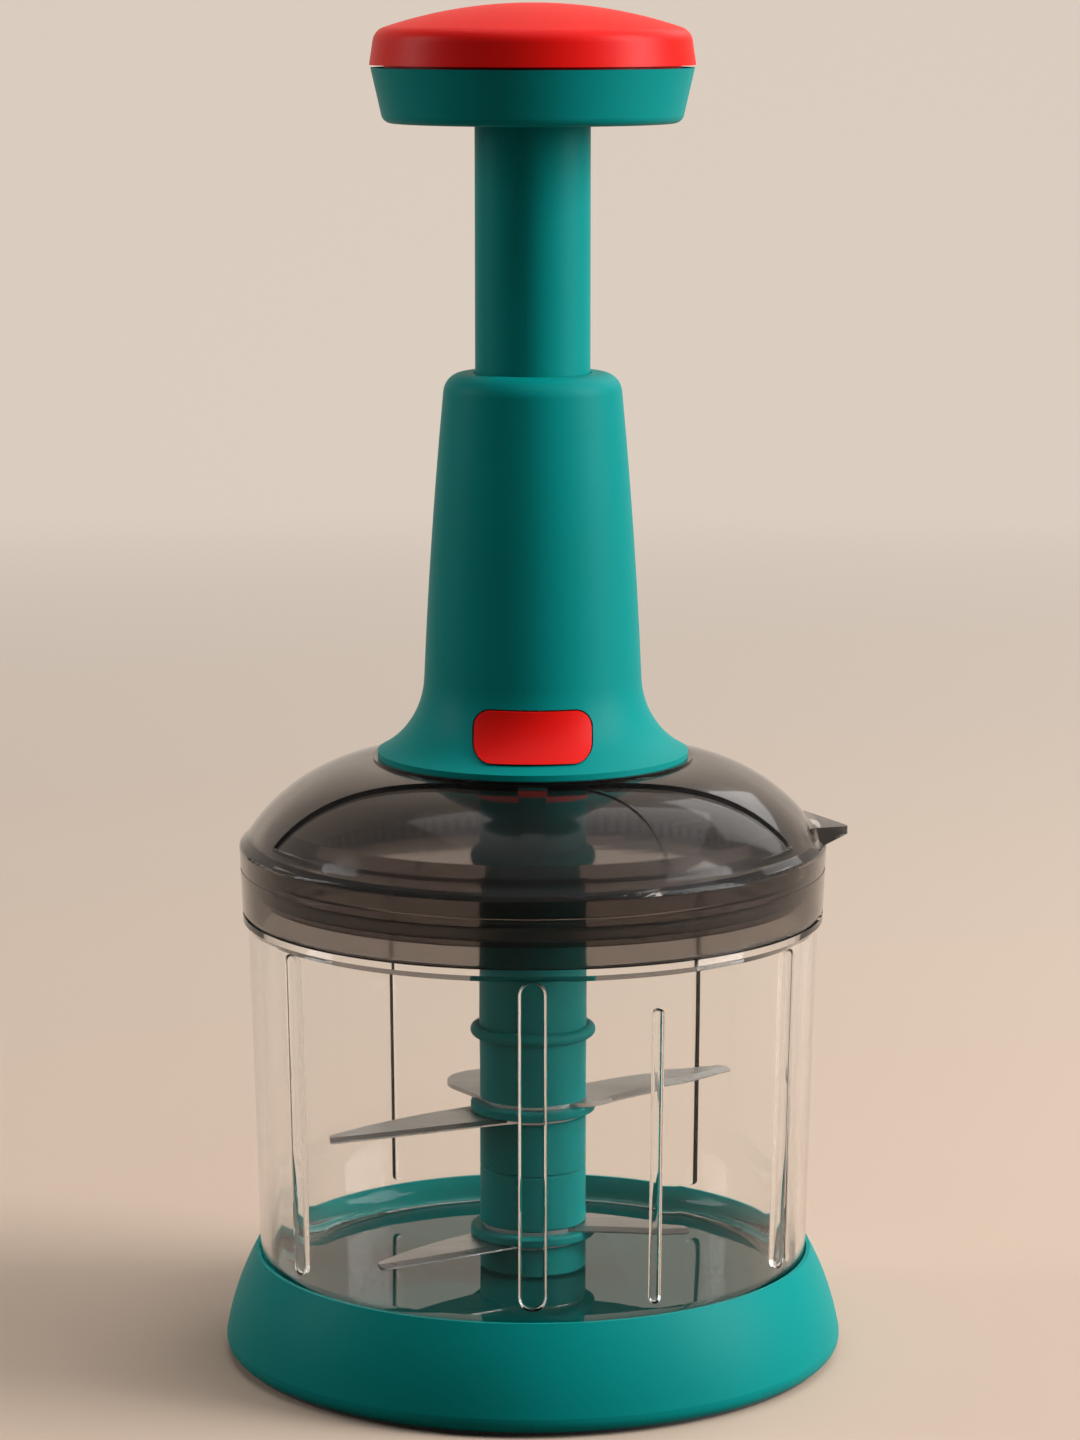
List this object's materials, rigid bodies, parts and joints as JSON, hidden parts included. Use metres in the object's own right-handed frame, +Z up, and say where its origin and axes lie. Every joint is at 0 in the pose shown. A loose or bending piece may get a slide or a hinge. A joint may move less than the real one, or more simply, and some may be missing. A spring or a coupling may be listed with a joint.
{
  "type": "hand press food chopper",
  "caption": "Hand-press food chopper: a knob pushed down through a tapered tower spins steel blades in a clear bowl, with a smoked lid, a lock button and a round base.",
  "frame": {"origin": "on the floor under the middle of the base", "axes": "+Z up along the plunger, -Y towards the lock button, +X towards the lid's tab"},
  "size_m": [0.1493, 0.1484, 0.3217],
  "materials": {
    "teal_plastic": "fine satin",
    "red_plastic": "satin",
    "clear_plastic": "polished, clear",
    "smoked_plastic": "polished, smoked",
    "dark_plastic": "moulded",
    "white_plastic": "moulded",
    "grey_silicone": "matt",
    "clear_silicone": "matt",
    "steel": "turned",
    "spring_steel": "drawn wire",
    "blade_steel": "brushed",
    "bronze": "sintered"
  },
  "bodies": {
    "base": {"base_stand": "teal_plastic", "grip_ring": "grey_silicone"},
    "bowl": {"bowl": "clear_plastic", "pivot_pin": "steel"},
    "head": {"lid": "smoked_plastic", "lid_plug": "smoked_plastic", "lid_seal": "clear_silicone", "lid_nut": "teal_plastic", "tower_housing": "teal_plastic", "bearing_plate": "dark_plastic", "plate_screws": "steel", "rod_bush": "bronze", "thrust_washer": "steel", "guide_sleeve": "white_plastic", "guide_bush": "white_plastic", "return_spring": "spring_steel", "button_spring": "spring_steel"},
    "plunger": {"plunger_tube": "teal_plastic", "knob_cup": "teal_plastic", "knob_cap": "red_plastic", "knob_screw": "steel", "drive_nut": "white_plastic", "nut_pins": "steel"},
    "rotor": {"twisted_rod": "steel", "spring_seat": "steel", "drive_sleeve": "teal_plastic", "sleeve_screw": "steel"},
    "button": {"lock_button": "red_plastic", "lock_tongue": "dark_plastic"},
    "blades": {"shaft_upper": "teal_plastic", "shaft_middle": "teal_plastic", "shaft_lower": "teal_plastic", "shaft_foot": "teal_plastic", "upper_spacer": "teal_plastic", "lower_spacer": "teal_plastic", "pivot_bush": "bronze", "upper_blade": "blade_steel", "second_blade": "blade_steel", "third_blade": "blade_steel", "fourth_blade": "blade_steel"}
  },
  "joints": [
    {"name": "bowl_lift", "type": "slide", "parent": "base", "child": "bowl", "axis": [0, 0, 1], "range_m": [0, 0.03]},
    {"name": "lid_lift", "type": "slide", "parent": "bowl", "child": "head", "axis": [0, 0, 1], "range_m": [0, 0.06]},
    {"name": "plunger_slide", "type": "slide", "parent": "head", "child": "plunger", "axis": [0, 0, -1], "range_m": [0, 0.056], "stiffness_N_per_m": 200, "springref_m": -0.02, "deforming": ["return_spring"]},
    {"name": "rotor_spin", "type": "hinge", "parent": "head", "child": "rotor", "pos_m": [0, 0, 0.14], "axis": [0, 0, 1], "range_deg": [-5, 725]},
    {"name": "blade_spin", "type": "hinge", "parent": "bowl", "child": "blades", "pos_m": [0, 0, 0.03], "axis": [0, 0, 1], "range_deg": [-5, 725]},
    {"name": "button_push", "type": "slide", "parent": "head", "child": "button", "axis": [0, 1, 0], "range_m": [0, 0.0022], "stiffness_N_per_m": 600, "springref_m": -0.001, "deforming": ["button_spring"]}
  ],
  "couplings": [
    {"joint": "rotor_spin", "follows": "plunger_slide", "rad_per_m": 224.4},
    {"joint": "blade_spin", "follows": "plunger_slide", "rad_per_m": 224.4}
  ]
}
